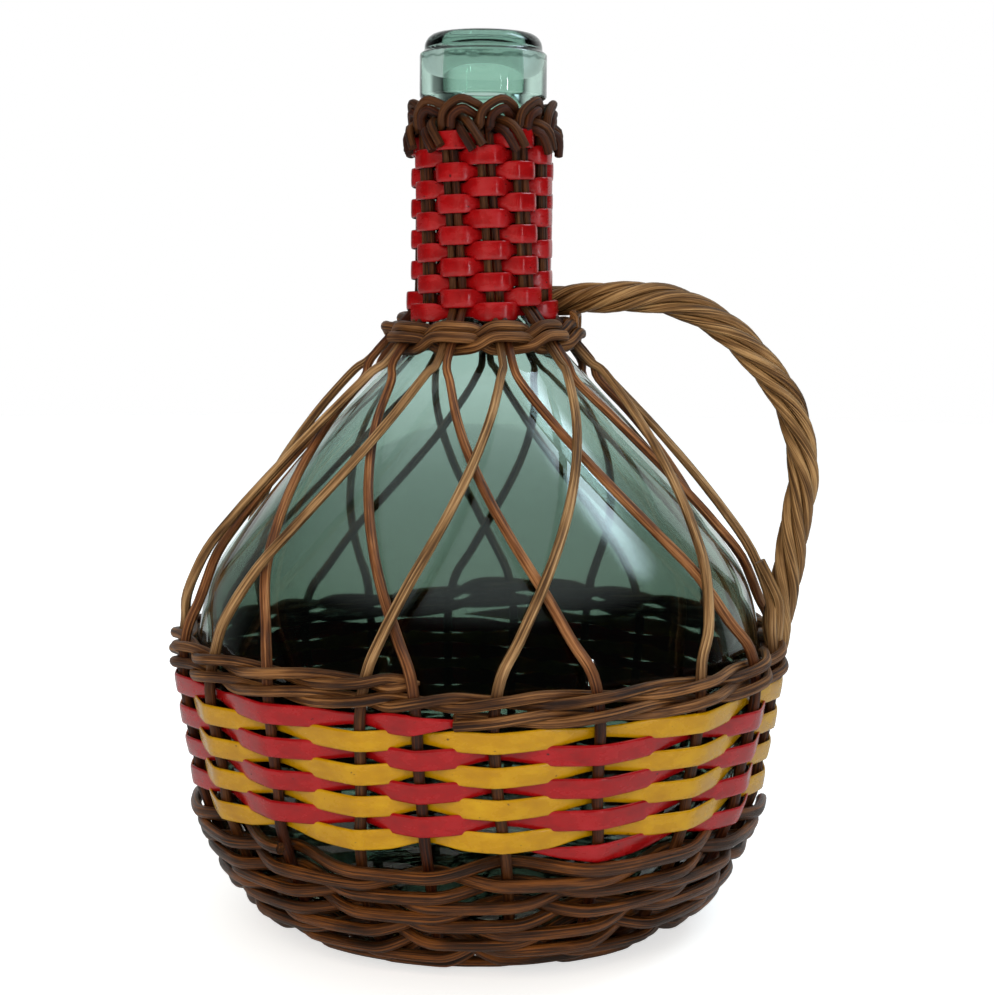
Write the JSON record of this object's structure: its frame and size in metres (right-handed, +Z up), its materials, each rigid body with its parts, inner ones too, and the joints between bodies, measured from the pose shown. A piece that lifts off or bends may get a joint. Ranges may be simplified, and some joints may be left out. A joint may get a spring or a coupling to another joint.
{
  "type": "demijohn",
  "caption": "Round green glass demijohn in a woven cane and plastic-strip cover, with a twisted cane handle from its neck to the rim of the basket.",
  "frame": {"origin": "on the bottle's axis, at the underside of the base", "axes": "+Z up along the bottle's axis, -Y the front, +X towards the handle"},
  "size_m": [0.2475, 0.2389, 0.3382],
  "materials": {
    "glass": "green blown glass",
    "cane": "bare split cane",
    "willow": "stained willow",
    "red_strip": "glossy extruded strip",
    "yellow_strip": "glossy extruded strip"
  },
  "bodies": {
    "root": {"glass_bottle": "glass", "stake_01": "cane", "stake_02": "cane", "stake_03": "cane", "stake_04": "cane", "stake_05": "cane", "stake_06": "cane", "stake_07": "cane", "stake_08": "cane", "stake_09": "cane", "stake_10": "cane", "stake_11": "cane", "stake_12": "cane", "stake_13": "cane", "stake_14": "cane", "stake_15": "cane", "stake_16": "cane", "stake_17": "cane", "stake_18": "cane", "stake_19": "cane", "stake_20": "cane", "stake_21": "cane", "stake_22": "cane", "handle_core": "cane", "handle_rod_1": "cane", "handle_rod_2": "cane", "handle_rod_3": "cane", "handle_rod_4": "cane", "handle_rod_5": "cane", "handle_tie": "cane", "handle_cut_end": "cane", "base_mat": "willow", "willow_weaver_a": "willow", "willow_weaver_b": "willow", "rim_rod_a": "willow", "rim_rod_b": "willow", "neck_ring_rod_a": "willow", "neck_ring_rod_b": "willow", "red_strip_side": "red_strip", "red_strip_neck": "red_strip", "yellow_strip_side": "yellow_strip"}
  },
  "joints": []
}
